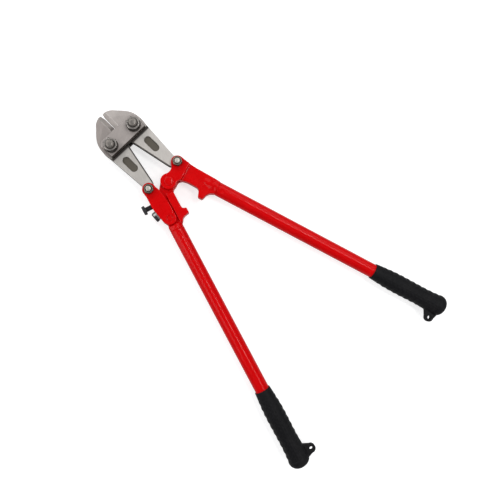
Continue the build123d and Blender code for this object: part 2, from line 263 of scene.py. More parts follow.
# Fine lines that run one way: noise squeezed along the grinding direction, at two sizes
def buildGrain():
    group, given, out = newGroup(
        "groundGrain",
        [("Stretch", vector, (1.0, 1.0, 1.0)), ("Fineness", number, 60.0), ("Turn", number, 0.0)],
        [("Lines", number), ("Clouds", number)],
    )
    coords = objectCoords(group)
    turned = addNode(
        group, "ShaderNodeVectorRotate", {"Vector": coords, "Angle": given["Turn"]}, rotation_type="Z_AXIS"
    ).outputs[0]
    squeezed = addNode(
        group, "ShaderNodeVectorMath", {0: turned, 1: given["Stretch"]}, operation="MULTIPLY"
    ).outputs[0]
    fine = noise(group, squeezed, given["Fineness"], 3.0, 0.6)
    clouds = noise(group, coords, 55.0, 3.0, 0.55)
    group.links.new(fine, out["Lines"])
    group.links.new(clouds, out["Clouds"])
    return group


# Rubbed edges: the piece's own "edge" attribute, broken up by noise
def buildEdgeWear():
    group, given, out = newGroup(
        "edgeWear",
        [("Edge", number, 0.0), ("Amount", number, 0.5), ("Size", number, 400.0)],
        [("Worn", number), ("Step", number)],
    )
    coords = objectCoords(group)
    patches = noise(group, coords, given["Size"], 4.0, 0.65)
    reach = maths(group, "MULTIPLY", given["Edge"], given["Amount"])
    level = maths(group, "ADD", reach, patches)
    worn = mapRange(group, level, 0.86, 1.02)
    kept = maths(group, "MULTIPLY", worn, maths(group, "GREATER_THAN", given["Edge"], 0.05))
    group.links.new(kept, out["Worn"])
    group.links.new(maths(group, "SUBTRACT", 1.0, kept), out["Step"])
    return group


# Faces that were ground flat: 1 where the height from the middle plane is more than a limit
def buildGroundFace():
    group, given, out = newGroup(
        "groundFace",
        [("Middle", number, 0.017), ("Half", number, 0.0053), ("Blend", number, 0.0002)],
        [("Face", number), ("Depth", number)],
    )
    coords = objectCoords(group)
    height = addNode(group, "ShaderNodeSeparateXYZ", {0: coords}).outputs["Z"]
    depth = maths(group, "ABSOLUTE", maths(group, "SUBTRACT", height, given["Middle"]))
    low = maths(group, "SUBTRACT", given["Half"], given["Blend"])
    face = mapRange(group, depth, low, given["Half"])
    group.links.new(face, out["Face"])
    group.links.new(depth, out["Depth"])
    return group


# Thin dust and finger marks: wide soft noise cut by a finer one
def buildHandling():
    group, given, out = newGroup(
        "handlingMarks",
        [("Size", number, 40.0), ("Cover", number, 0.5)],
        [("Marks", number), ("Specks", number)],
    )
    coords = objectCoords(group)
    wide = noise(group, coords, given["Size"], 4.0, 0.6)
    fine = noise(group, coords, 1500.0, 1.0, 0.5)
    low = maths(group, "SUBTRACT", 1.0, given["Cover"])
    marks = mapRange(group, wide, low, 1.0)
    specks = mapRange(group, fine, 0.66, 0.78)
    group.links.new(marks, out["Marks"])
    group.links.new(specks, out["Specks"])
    return group


groups = {
    "grain": buildGrain(),
    "edgeWear": buildEdgeWear(),
    "groundFace": buildGroundFace(),
    "handling": buildHandling(),
}


def useGroup(tree, name, **inputs):
    node = tree.nodes.new("ShaderNodeGroup")
    node.node_tree = groups[name]
    for key, value in inputs.items():
        if isinstance(value, bpy.types.NodeSocket):
            tree.links.new(value, node.inputs[key])
        else:
            node.inputs[key].default_value = value
    return node.outputs


def startMaterial(name, **sockets):
    material = bpy.data.materials.new(name)
    material.use_nodes = True
    tree = material.node_tree
    shader = tree.nodes["Principled BSDF"]
    for key, value in sockets.items():
        shader.inputs[key.replace("_", " ")].default_value = value
    return material, tree, shader


def opaque(colour, gain=1.0):
    return (*(c * gain for c in colour), 1.0)


def connectBump(tree, shader, height, distance, strength=1.0):
    bump = addNode(tree, "ShaderNodeBump", {"Height": height, "Distance": distance, "Strength": strength})
    tree.links.new(bump.outputs["Normal"], shader.inputs["Normal"])


def edgeAttribute(tree):
    return addNode(
        tree, "ShaderNodeAttribute", attribute_name="edge", attribute_type="GEOMETRY"
    ).outputs["Fac"]


# Gloss red enamel over forgings and tube, with orange peel, small chips on edges and a little dust
redPaint = {
    "colour": (0.52, 0.0008, 0.0018),
    "deep": (0.38, 0.0004, 0.0009),
    "chipColour": (0.16, 0.10, 0.09),
    "roughness": 0.27,
    "coat": 0.21,
    "peelDepth": 0.00006,
    "chips": 0.34,
}


def buildRedPaint(name, setup, castGrain):
    material, tree, shader = startMaterial(
        name, Specular_IOR_Level=0.05, Coat_Roughness=0.1, Coat_IOR=1.35, IOR=1.45
    )
    coords = objectCoords(tree)
    pool = noise(tree, coords, 70.0, 3.0, 0.5)
    peel = noise(tree, coords, 520.0, 1.5, 0.4)
    cast = noise(tree, coords, 150.0, 3.0, 0.55)
    wear = useGroup(tree, "edgeWear", Edge=edgeAttribute(tree), Amount=setup["chips"], Size=420.0)
    handling = useGroup(tree, "handling", Size=35.0, Cover=0.45)
    thin = mapRange(tree, pool, 0.3, 0.72)
    paint = mixColour(tree, thin, opaque(setup["deep"], 1.25), opaque(setup["colour"]))
    paint = mixColour(tree, maths(tree, "MULTIPLY", handling["Specks"], 0.05), paint, (0.75, 0.35, 0.3, 1.0))
    tree.links.new(
        mixColour(tree, wear["Worn"], paint, opaque(setup["chipColour"])), shader.inputs["Base Color"]
    )
    rough = maths(tree, "MULTIPLY_ADD", handling["Marks"], 0.16, setup["roughness"])
    rough = maths(tree, "MULTIPLY_ADD", wear["Worn"], 0.3, rough)
    tree.links.new(rough, shader.inputs["Roughness"])
    tree.links.new(maths(tree, "MULTIPLY", wear["Step"], setup["coat"]), shader.inputs["Coat Weight"])
    height = maths(tree, "MULTIPLY_ADD", cast, castGrain, peel)
    height = maths(tree, "MULTIPLY_ADD", wear["Step"], 0.6, height)
    connectBump(tree, shader, height, setup["peelDepth"])
    return material


# Ground jaw steel: bright flat faces, dark unground sides and recess floors, warmer towards the nose
jawSteel = {
    "tail": (0.52, 0.495, 0.465),
    "nose": (0.375, 0.34, 0.322),
    "dark": (0.062, 0.052, 0.045),
    "recess": (0.105, 0.094, 0.078),
    "bevel": (0.385, 0.355, 0.335),
    # painted shade: how dark the rear of the left blade's bevel is made
    "bevelShade": 0.62,
    "roughness": 0.46,
    "grainDepth": 0.000035,
    "rimDepth": 0.0011,
    "noseTurn": (0.074, 0.086),  # the tail's colour turns into the nose's
    "bladeFrom": 0.0935,
    # painted shade: where the left bevel's darkening begins and where it is full
    "bevelShadeTurn": (0.1185, 0.1115),
    "recessDepth": (0.0034, 0.0036),
    "recessAlong": (0.042, 0.0715),
    # painted shade: a dark line beside the tail's inner edge, wider on the left tail
    "lineSlope": 0.209,  # the tail's inner edge, and how wide the dark line beside it is
    "lineRoot": 0.073,
    "lineWidth": (0.0057, 0.0066),
    # painted shadow of the strap on the jaw behind its rear edge
    "strapShadowTurn": (0.0756, 0.0768),
    "strapShadowEnd": 0.0806,
    "rimTurn": (0.030, 0.044),
}


def buildJawSteel(name, setup, gain):
    # gain makes the ground colours lighter for the lit jaw and darker for the shaded jaw: painted light and
    # shade
    material, tree, shader = startMaterial(name, Metallic=0.88, Specular_IOR_Level=0.4)
    coords = objectCoords(tree)
    parts = addNode(tree, "ShaderNodeSeparateXYZ", {0: coords}).outputs
    face = useGroup(tree, "groundFace", Middle=midHeight, Half=5.44 * mm, Blend=0.25 * mm)
    grain = useGroup(tree, "grain", Stretch=(1.0, 0.07, 1.0), Fineness=1500.0, Turn=0.5)
    wear = useGroup(tree, "edgeWear", Edge=edgeAttribute(tree), Amount=0.5, Size=600.0)
    toNose = mapRange(tree, parts["Y"], *setup["noseTurn"])
    inBlade = maths(tree, "GREATER_THAN", parts["Y"], setup["bladeFrom"])
    # painted shade: the left blade's bevel darkens towards its rear end, where it meets the strap
    rear = mapRange(tree, parts["Y"], *setup["bevelShadeTurn"])
    onLeft = maths(tree, "LESS_THAN", parts["X"], 0.0)
    bevelShade = maths(tree, "MULTIPLY", maths(tree, "MULTIPLY", rear, onLeft), setup["bevelShade"])
    bevel = mixColour(tree, bevelShade, opaque(setup["bevel"], gain), opaque(setup["dark"]))
    bright = mixColour(tree, toNose, opaque(setup["tail"], gain), opaque(setup["nose"], gain))
    unground = mixColour(tree, inBlade, opaque(setup["dark"]), bevel)
    inRecess = 1.0
    for value, limits in ((face["Depth"], setup["recessDepth"]), (parts["Y"], setup["recessAlong"])):
        inRecess = maths(tree, "MULTIPLY", maths(tree, "GREATER_THAN", value, limits[0]), inRecess)
        inRecess = maths(tree, "MULTIPLY", maths(tree, "LESS_THAN", value, limits[1]), inRecess)
    unground = mixColour(tree, inRecess, unground, opaque(setup["recess"]))
    # painted shade: a dark line along the tail's inner edge, made wider on the left tail, and a painted
    # shadow of the strap on the jaw just behind it
    thin, wide = setup["lineWidth"]
    inner = maths(
        tree, "MULTIPLY_ADD", parts["Y"], -setup["lineSlope"], thin + setup["lineRoot"] * setup["lineSlope"]
    )
    inner = maths(tree, "MULTIPLY_ADD", onLeft, wide - thin, inner)
    line = maths(tree, "LESS_THAN", maths(tree, "ABSOLUTE", parts["X"]), inner)
    strapShadow = mapRange(tree, parts["Y"], *setup["strapShadowTurn"])
    behind = maths(tree, "LESS_THAN", parts["Y"], setup["strapShadowEnd"])
    paintedShade = maths(tree, "MULTIPLY", maths(tree, "MAXIMUM", line, strapShadow), behind)
    bright = mixColour(tree, maths(tree, "MULTIPLY", paintedShade, 0.93), bright, opaque(setup["dark"], 0.6))
    colour = mixColour(tree, face["Face"], unground, bright)
    streak = mapRange(tree, grain["Lines"], 0.3, 0.7, 0.93, 1.06)
    cloud = mapRange(tree, grain["Clouds"], 0.3, 0.7, 0.93, 1.05)
    tone = maths(tree, "MULTIPLY", streak, cloud)
    grey = addNode(tree, "ShaderNodeCombineColor", {0: tone, 1: tone, 2: tone}).outputs[0]
    colour = mixColour(tree, 1.0, colour, grey, "MULTIPLY")
    colour = mixColour(tree, maths(tree, "MULTIPLY", wear["Worn"], 0.5), colour, (0.62, 0.6, 0.57, 1.0))
    tree.links.new(colour, shader.inputs["Base Color"])
    rough = maths(tree, "MULTIPLY_ADD", grain["Lines"], 0.16, setup["roughness"] - 0.08)
    rough = maths(tree, "MULTIPLY_ADD", maths(tree, "SUBTRACT", 1.0, face["Face"]), 0.12, rough)
    tree.links.new(rough, shader.inputs["Roughness"])
    # the ground rim: height falls towards the round nose, by the distance from the nose's own centre
    across = maths(tree, "ABSOLUTE", parts["X"])
    forward = maths(tree, "SUBTRACT", parts["Y"], setup["bladeFrom"])
    away = addNode(tree, "ShaderNodeCombineXYZ", {0: across, 1: forward}).outputs[0]
    reach = addNode(tree, "ShaderNodeVectorMath", {0: away}, operation="LENGTH").outputs["Value"]
    drop = mapRange(tree, reach, *setup["rimTurn"])
    drop = maths(tree, "MULTIPLY", maths(tree, "MULTIPLY", drop, inBlade), -setup["rimDepth"])
    height = maths(tree, "MULTIPLY_ADD", grain["Lines"], setup["grainDepth"], drop)
    connectBump(tree, shader, height, 1.0)
    return material


# Plain ground or plated steel, with darker sides where it wasn't ground; on the strap and the nuts the dark
# sides are also painted shade
plainSteels = {
    # strap: painted shadow along its rear edge and near-black sides, and painted light on its front sides
    "strapSteel": {
        "face": (0.375, 0.34, 0.322), "side": (0.03, 0.024, 0.02), "half": 10.52, "rear": 81.3, "metal": 0.88,
        "rough": 0.47, "turn": 1.2, "stretch": (1.0, 0.08, 1.0), "fine": 1400.0, "wear": 0.35,
    },
    # nut: its near-black sides are painted shade
    "nutSteel": {
        "face": (0.30, 0.28, 0.26), "side": (0.035, 0.03, 0.027), "half": 20.2, "metal": 0.9, "rough": 0.36,
        "turn": 0.0, "stretch": (1.0, 1.0, 1.0), "fine": 900.0, "wear": 0.5,
    },
    "jawBoltSteel": {
        "face": (0.185, 0.17, 0.155), "side": (0.16, 0.145, 0.13), "half": 22.0, "metal": 0.8, "rough": 0.42,
        "turn": 0.0, "stretch": (1.0, 1.0, 1.0), "fine": 700.0, "wear": 0.2,
    },
    # painted shade: the jaw washers are made near black to stand for the shadow round the nuts
    "washerSteelShaded": {
        "face": (0.075, 0.067, 0.06), "side": (0.10, 0.09, 0.08), "half": 12.9, "metal": 0.85, "rough": 0.4,
        "turn": 0.0, "stretch": (1.0, 1.0, 1.0), "fine": 900.0, "wear": 0.3,
    },
    # tail nut: dark oxide sides, darkened further as painted shade
    "tailNutSteel": {
        "face": (0.17, 0.135, 0.11), "side": (0.06, 0.043, 0.035), "half": 17.2, "metal": 0.88, "rough": 0.38,
        "turn": 0.0, "stretch": (1.0, 1.0, 1.0), "fine": 900.0, "wear": 0.3,
    },
    "tailBoltSteel": {
        "face": (0.47, 0.45, 0.405), "side": (0.26, 0.23, 0.2), "half": 18.2, "metal": 0.85, "rough": 0.44,
        "turn": 0.0, "stretch": (1.0, 1.0, 1.0), "fine": 900.0, "wear": 0.3,
    },
    "zincSteel": {
        "face": (0.36, 0.37, 0.36), "side": (0.33, 0.35, 0.34), "half": 6.0, "metal": 0.85, "rough": 0.4,
        "turn": 0.0, "stretch": (1.0, 1.0, 1.0), "fine": 1200.0, "wear": 0.2,
    },
}


def buildPlainSteel(name, setup):
    material, tree, shader = startMaterial(name, Metallic=setup["metal"], Specular_IOR_Level=0.4)
    face = useGroup(tree, "groundFace", Middle=midHeight, Half=setup["half"] * mm, Blend=0.3 * mm)
    grain = useGroup(tree, "grain", Stretch=setup["stretch"], Fineness=setup["fine"], Turn=setup["turn"])
    wear = useGroup(tree, "edgeWear", Edge=edgeAttribute(tree), Amount=setup["wear"], Size=700.0)
    handling = useGroup(tree, "handling", Size=90.0, Cover=0.6)
    colour = mixColour(tree, face["Face"], opaque(setup["side"]), opaque(setup["face"]))
    if "rear" in setup:  # painted shadow along the rear edge in the dark side colour, and painted light at the front, where the sides take the face colour
        coords = objectCoords(tree)
        along = addNode(tree, "ShaderNodeSeparateXYZ", {0: coords}).outputs["Y"]
        colour = mixColour(tree, maths(tree, "GREATER_THAN", along, 0.1), colour, opaque(setup["face"]))
        colour = mixColour(
            tree, maths(tree, "LESS_THAN", along, setup["rear"] * mm), colour, opaque(setup["side"])
        )
    tone = mapRange(tree, grain["Clouds"], 0.3, 0.7, 0.9, 1.08)
    line = mapRange(tree, grain["Lines"], 0.3, 0.7, 0.93, 1.06)
    tone = maths(tree, "MULTIPLY", tone, line)
    grey = addNode(tree, "ShaderNodeCombineColor", {0: tone, 1: tone, 2: tone}).outputs[0]
    colour = mixColour(tree, 1.0, colour, grey, "MULTIPLY")
    colour = mixColour(tree, maths(tree, "MULTIPLY", wear["Worn"], 0.4), colour, (0.6, 0.58, 0.55, 1.0))
    tree.links.new(colour, shader.inputs["Base Color"])
    rough = maths(tree, "MULTIPLY_ADD", grain["Lines"], 0.12, setup["rough"] - 0.06)
    rough = maths(tree, "MULTIPLY_ADD", handling["Marks"], 0.15, rough)
    tree.links.new(rough, shader.inputs["Roughness"])
    connectBump(tree, shader, grain["Lines"], 0.00003)
    return material


# Black oxide on the adjusting bolt
blackOxide = {"colour": (0.012, 0.012, 0.014), "rubbed": (0.09, 0.09, 0.095), "roughness": 0.42}


def buildBlackOxide(name, setup):
    material, tree, shader = startMaterial(name, Metallic=0.35, Specular_IOR_Level=0.45)
    grain = useGroup(tree, "grain", Stretch=(1.0, 1.0, 1.0), Fineness=900.0, Turn=0.0)
    wear = useGroup(tree, "edgeWear", Edge=edgeAttribute(tree), Amount=0.45, Size=700.0)
    colour = mixColour(
        tree, maths(tree, "MULTIPLY", grain["Clouds"], 0.4), opaque(setup["colour"]),
        opaque(setup["rubbed"], 0.6),
    )
    colour = mixColour(tree, maths(tree, "MULTIPLY", wear["Worn"], 0.6), colour, opaque(setup["rubbed"]))
    tree.links.new(colour, shader.inputs["Base Color"])
    tree.links.new(
        maths(tree, "MULTIPLY_ADD", grain["Lines"], 0.15, setup["roughness"] - 0.07),
        shader.inputs["Roughness"],
    )
    connectBump(tree, shader, grain["Lines"], 0.00003)
    return material


# Moulded rubber of the grips: near black, matt, with a fine pebble and a little dust in the hollows
gripRubber = {
    "colour": (0.003, 0.003, 0.0037), "dusty": (0.018, 0.017, 0.0175), "roughness": 0.58, "pebble": 0.00009,
}


def buildGripRubber(name, setup):
    material, tree, shader = startMaterial(name, Specular_IOR_Level=0.13)
    coords = objectCoords(tree)
    pebble = addNode(
        tree, "ShaderNodeTexVoronoi", {"Vector": coords, "Scale": 1100.0}, feature="SMOOTH_F1"
    ).outputs["Distance"]
    handling = useGroup(tree, "handling", Size=60.0, Cover=0.52)
    dust = maths(
        tree, "MULTIPLY_ADD", handling["Marks"], 0.6, maths(tree, "MULTIPLY", edgeAttribute(tree), 0.35)
    )
    dust = maths(tree, "MULTIPLY_ADD", handling["Specks"], 0.15, dust)
    tree.links.new(
        mixColour(tree, dust, opaque(setup["colour"]), opaque(setup["dusty"])), shader.inputs["Base Color"]
    )
    tree.links.new(
        maths(tree, "MULTIPLY_ADD", handling["Marks"], 0.25, setup["roughness"]), shader.inputs["Roughness"]
    )
    connectBump(tree, shader, pebble, setup["pebble"])
    return material


finishes = {
    "forgedRed": buildRedPaint("forgedRed", redPaint, 2.2),
    "tubeRed": buildRedPaint("tubeRed", redPaint, 0.25),
    # painted light: the left jaw is a shaded copy of the jaw steel, with a darker nose and gain 0.96, and the
    # right jaw a lit copy, with a lighter nose and gain 1.04
    "jawSteelLeftShaded": buildJawSteel("jawSteelLeftShaded", {**jawSteel, "nose": (0.325, 0.292, 0.275)}, 0.96),
    "jawSteelRightLit": buildJawSteel("jawSteelRightLit", {**jawSteel, "nose": (0.405, 0.37, 0.35)}, 1.04),
    "blackOxide": buildBlackOxide("blackOxide", blackOxide),
    "gripRubber": buildGripRubber("gripRubber", gripRubber),
}
finishes.update({name: buildPlainSteel(name, setup) for name, setup in plainSteels.items()})
print("materials made:", len(finishes))


# Mesh helpers
def newPiece(name, vertices, faces):
    mesh = bpy.data.meshes.new(name)
    mesh.from_pydata(vertices.tolist(), [], faces)
    mesh.update()
    piece = bpy.data.objects.new(name, mesh)
    scene.collection.objects.link(piece)
    return piece


def standFor(piece, nodes, finish):
    for node in nodes:
        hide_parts(node)
    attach(piece, bodyOfNode[nodes[0]])
    piece.data.materials.clear()
    piece.data.materials.append(finishes[finish])
    return piece


def readPoints(mesh):
    flat = np.empty(len(mesh.vertices) * 3, np.float32)
    mesh.vertices.foreach_get("co", flat)
    return flat.reshape(-1, 3).astype(float)


def readNormals(mesh):
    flat = np.empty(len(mesh.vertices) * 3, np.float32)
    mesh.vertices.foreach_get("normal", flat)
    return flat.reshape(-1, 3).astype(float)


def writePoints(mesh, points):
    mesh.vertices.foreach_set("co", points.astype(np.float32).ravel())
    mesh.update()


def weldedCopy(node):
    # the node's triangles with the points that share a place made one
    mesh = frame["nodes"][node].data
    points = readPoints(mesh)
    corners = np.empty(len(mesh.loops), np.int32)
    mesh.loops.foreach_get("vertex_index", corners)
    merged, first = np.unique(np.round(points / (0.002 * mm)).astype(np.int64), axis=0, return_inverse=True)
    triangles = first.reshape(-1)[corners].reshape(-1, 3)
    a, b, c = triangles.T
    proper = (a != b) & (b != c) & (a != c)
    return merged * 0.002 * mm, triangles[proper]


def edgeSharpness(mesh, spread):
    # how far a point stands out: the mean dip of its neighbours below its own tangent plane
    points, normals = readPoints(mesh), readNormals(mesh)
    pairs = np.empty(len(mesh.edges) * 2, np.int32)
    mesh.edges.foreach_get("vertices", pairs)
    a, b = pairs.reshape(-1, 2).T
    step = points[b] - points[a]
    length = np.maximum(np.linalg.norm(step, axis=1), 1e-9)
    dipA = -(normals[a] * step).sum(1) / length
    dipB = (normals[b] * step).sum(1) / length
    total = np.bincount(a, dipA, len(points)) + np.bincount(b, dipB, len(points))
    count = np.maximum(np.bincount(a, minlength=len(points)) + np.bincount(b, minlength=len(points)), 1)
    value = total / count
    for _ in range(spread):
        near = np.bincount(a, value[b], len(points)) + np.bincount(b, value[a], len(points))
        value = 0.5 * value + 0.5 * near / count
    return value


def storeEdge(mesh, value):
    layer = mesh.attributes.get("edge") or mesh.attributes.new("edge", "FLOAT", "POINT")
    layer.data.foreach_set("value", np.clip(value, 0.0, 1.0).astype(np.float32))


# A machined piece: the node's flat faces made whole, and its edges broken by a small round
def machinedPiece(node, setup):
    points, triangles = weldedCopy(node)
    piece = newPiece(f"{node}_finished", points, triangles.tolist())
    shape = bmesh.new()
    shape.from_mesh(piece.data)
    bmesh.ops.dissolve_limit(shape, angle_limit=math.radians(0.8), verts=shape.verts, edges=shape.edges)
    sharp = [e for e in shape.edges if len(e.link_faces) == 2 and e.calc_face_angle(0.0) > math.radians(28)]
    worn = shape.faces.layers.float.new("edge")
    made = bmesh.ops.bevel(
        shape, geom=sharp, offset=setup["round"] * mm, offset_type="OFFSET", segments=setup["steps"],
        profile=0.5, affect="EDGES", clamp_overlap=True,
    )
    for polygon in made["faces"]:
        polygon[worn] = 1.0
    shape.to_mesh(piece.data)
    shape.free()
    piece.data.shade_smooth()
    piece.data.set_sharp_from_angle(angle=math.radians(50))
    flat = piece.modifiers.new("evenShading", "WEIGHTED_NORMAL")
    flat.keep_sharp = True
    flat.weight = 100
    return standFor(piece, [node], setup["finish"])


machined = {
    "jaw_left": {"round": 0.22, "steps": 2, "slot": "jaw_steel", "finish": "jawSteelLeftShaded"},
    "jaw_right": {"round": 0.22, "steps": 2, "slot": "jaw_steel", "finish": "jawSteelRightLit"},
    "strap_upper": {"round": 0.25, "steps": 2, "slot": "ground_steel", "finish": "strapSteel"},
    "strap_lower": {"round": 0.25, "steps": 2, "slot": "ground_steel", "finish": "strapSteel"},
}
for node, setup in machined.items():
    machinedPiece(node, setup)
print("jaws and straps finished")


# A forged piece: the node's shape as one even skin, its edges melted round, with shallow dents
def forgedPiece(node, setup, sculpt=None):
    points, triangles = weldedCopy(node)
    rough = newPiece(f"{node}_raw", points, triangles.tolist())
    skin = rough.modifiers.new("skin", "REMESH")
    skin.mode, skin.voxel_size, skin.use_smooth_shade = "VOXEL", setup["voxel"] * mm, True
    soften = rough.modifiers.new("soften", "SMOOTH")
    soften.factor, soften.iterations = 0.5, setup["soften"]
    bpy.context.view_layer.update()
    mesh = bpy.data.meshes.new_from_object(rough.evaluated_get(bpy.context.evaluated_depsgraph_get()))
    bpy.data.objects.remove(rough)
    mesh.name = f"{node}_finished"
    piece = bpy.data.objects.new(mesh.name, mesh)
    scene.collection.objects.link(piece)
    if sculpt:
        writePoints(mesh, sculpt(readPoints(mesh), readNormals(mesh), setup))
    storeEdge(mesh, smoothStep(edgeSharpness(mesh, 2), setup["edgeFrom"], setup["edgeTo"]))
    mesh.shade_smooth()
    return standFor(piece, [node], setup["finish"])


# Dents: each point near a dent's centre sinks along its own normal by a bell curve of the distance
def sinkDents(points, normals, setup):
    local = intoFrame(points, handles[setup["side"]])
    shift = np.zeros(len(points))
    for x, y, height, width, depth in setup["dents"]:
        distance = np.linalg.norm(local - [x, y, height], axis=1)
        shift += depth * np.exp(-((distance / width) ** 2))
    wave = np.sin(local[:, 0] * 0.31 + 1.3) * np.sin(local[:, 1] * 0.37 + local[:, 2] * 0.5)
    shift += setup["unevenness"] * (wave * 0.5 + 0.5)
    return points - normals * (shift * mm)[:, None]


forged = {
    "knuckle_right": {
        "voxel": 0.72, "soften": 9, "side": "right", "slot": "red_paint", "finish": "forgedRed",
        "edgeFrom": 0.16, "edgeTo": 0.42, "unevenness": 0.10,
        "dents": [
            (62.0, -4.0, 10.2, 3.4, 0.55), (52.0, 4.5, 9.0, 5.0, 0.35), (24.0, 3.0, 7.4, 9.0, 0.25),
            (3.0, -9.0, 10.8, 5.0, 0.2),
        ],
    },
    "knuckle_left": {
        "voxel": 0.72, "soften": 9, "side": "left", "slot": "red_paint", "finish": "forgedRed",
        "edgeFrom": 0.16, "edgeTo": 0.42, "unevenness": 0.10,
        "dents": [(60.5, -3.0, 10.2, 3.6, 0.6), (50.0, 16.0, 8.6, 4.0, 0.3), (25.0, 14.0, 8.6, 6.0, 0.2)],
    },
    "adjuster_arm": {
        "voxel": 0.62, "soften": 13, "side": "left", "slot": "red_paint", "finish": "forgedRed",
        "edgeFrom": 0.16, "edgeTo": 0.42, "unevenness": 0.10,
        "dents": [(12.0, -6.0, 10.6, 9.0, 0.22), (34.0, -6.0, 10.6, 8.0, 0.15)],
    },
}
for node, setup in forged.items():
    forgedPiece(node, setup, sinkDents)
print("handle ends finished")


# Grips: the skin sinks between ribs along both sides, and round small raised pads above and below.
# Along the sides, depth is ribDepth times half of one plus the cosine of the distance over the pitch;
# above and below, it is padDepth outside ovals that stand in staggered rows.
gripShape = {
    "voxel": 0.68, "soften": 3, "slot": "grip_rubber", "finish": "gripRubber",
    "edgeFrom": 0.10, "edgeTo": 0.35,
    "start": 330.0, "collarEnd": 342.0, "bodyEnd": 441.0, "ribPitch": 9.8, "ribDepth": 0.68, "padPitch": 7.4,
    "padRows": 7.0, "padDepth": 0.34, "grooveDepth": 0.35,
}


def pressGrip(points, normals, setup):
    handle = handles[setup["side"]]
    local = intoFrame(points, handle)
    x, y, z = local.T
    y = y * setup["inward"]
    radius = np.hypot(y, z)
    around = np.arctan2(z, y)
    outer = smoothStep(radius, 11.0, 11.5)
    body = smoothStep(x, setup["collarEnd"], setup["collarEnd"] + 4)
    body = body * (1 - smoothStep(x, setup["bodyEnd"] - 4, setup["bodyEnd"]))
    ear = smoothStep(y, 11.0, 14.5) * (1 - smoothStep(np.abs(z), 4.5, 7.5)) * smoothStep(x, 414.0, 421.0)
    side = smoothStep(np.abs(np.cos(around)), 0.62, 0.9)
    rib = 0.5 + 0.5 * np.cos((x - setup["start"]) * 2 * np.pi / setup["ribPitch"])
    depth = setup["ribDepth"] * side * rib
    row = around * 14.0 / setup["padRows"] * 2
    odd = np.mod(np.floor(row), 2)
    along = np.mod((x / setup["padPitch"]) + 0.5 * odd, 1.0) - 0.5
    over = np.mod(row, 1.0) - 0.5
    pad = 1 - smoothStep(np.hypot(along / 0.36, over / 0.34), 0.75, 1.15)
    depth += setup["padDepth"] * (1 - side) * (1 - pad)
    groove = sum(np.exp(-(((x - at) / 0.9) ** 2)) for at in (setup["collarEnd"], setup["bodyEnd"] - 1.0))
    depth = depth * body * (1 - ear) + setup["grooveDepth"] * groove * (1 - ear)
    away = np.stack([np.zeros_like(x), y * setup["inward"], z], axis=-1) / np.maximum(radius, 1e-6)[:, None]
    local = local - away * (depth * outer)[:, None]
    return outOfFrame(local, handle)


for side, inward in (("left", 1), ("right", -1)):
    forgedPiece(f"grip_{side}", {**gripShape, "side": side, "inward": inward}, pressGrip)
print("grips finished")


# Rings of points joined into a surface: neighbouring rings by quads, an end on its own middle point
def ringSurface(name, rings, local, closeStart=True, closeEnd=True, closeLoop=False):
    count, around = rings.shape[:2]
    index = np.arange(count * around).reshape(count, around)
    after = np.roll(index, -1, axis=1)
    low, lowAfter, high, highAfter = index[:-1], after[:-1], index[1:], after[1:]
    if closeLoop:
        low, lowAfter = index, after
        high, highAfter = np.roll(index, -1, axis=0), np.roll(after, -1, axis=0)
    faces = np.stack([low, lowAfter, highAfter, high], axis=-1).reshape(-1, 4).tolist()
    points = rings.reshape(-1, 3)
    if closeStart and not closeLoop:
        points = np.vstack([points, rings[0].mean(0)])
        faces += np.stack([np.full(around, len(points) - 1), after[0], index[0]], axis=-1).tolist()
    if closeEnd and not closeLoop:
        points = np.vstack([points, rings[-1].mean(0)])
        faces += np.stack([index[-1], after[-1], np.full(around, len(points) - 1)], axis=-1).tolist()
    piece = newPiece(name, outOfFrame(points, local), faces)
    piece.data.shade_smooth()
    return piece


def breakEdges(piece, width, smoothAngle=32):
    piece.data.set_sharp_from_angle(angle=math.radians(smoothAngle))
    bevel = piece.modifiers.new("brokenEdges", "BEVEL")
    bevel.width, bevel.segments, bevel.limit_method = width * mm, 2, "ANGLE"
    bevel.angle_limit, bevel.harden_normals = math.radians(smoothAngle), True


def profileRings(radii, heights, angles):
    # radii and heights are arrays of rings by angles, or numbers for a whole ring
    radii, heights = np.broadcast_arrays(radii, heights)
    return np.stack([radii * np.cos(angles), radii * np.sin(angles), heights + 0.0 * angles], axis=-1)


def hexRadius(angles, flats):
    # distance to the flat that an angle meets: half the width over flats, divided by the cosine to its middle
    offset = np.mod(angles, math.pi / 3) - math.pi / 6
    return flats / 2 / np.cos(offset)


# A hexagon nut or head between two heights. Each corner is cut by a 30 degree cone from a circle on the face.
def hexRings(angles, flats, low, high, cut, inner, cutLow, cutHigh):
    hexagon = hexRadius(angles, flats)
    circle = flats / 2 * cut
    drop = (hexagon - circle) * math.tan(math.radians(30))
    ones = np.ones_like(angles)
    rows = [
        (inner * ones, low * ones),
        ((circle if cutLow else 1.0) * (ones if cutLow else hexagon), low * ones),
        (hexagon, low + drop * (1 if cutLow else 0.02)),
        (hexagon, high - drop * (1 if cutHigh else 0.02)),
        ((circle if cutHigh else 1.0) * (ones if cutHigh else hexagon), high * ones),
        (inner * ones, high * ones),
    ]
    return [profileRings(r, h, angles) for r, h in rows]


def atPlace(place, height=0.0, base=upright):
    return {**base, "origin": np.array([place[0], place[1], height])}


def buildNut(name, node, place, setup):
    angles = np.linspace(0, 2 * math.pi, setup["around"], endpoint=False)
    rings = hexRings(
        angles, setup["flats"], setup["low"], setup["high"], setup["cut"], setup["bore"] + 0.9, True, True
    )
    # a countersink leads into the bore at both ends
    bore = [profileRings(setup["bore"], h, angles) for h in (setup["high"] - 0.9, setup["low"] + 0.9)]
    piece = ringSurface(name, np.array(rings + bore), atPlace(place), closeLoop=True)
    breakEdges(piece, 0.22, 25)
    return standFor(piece, [node], setup["finish"])


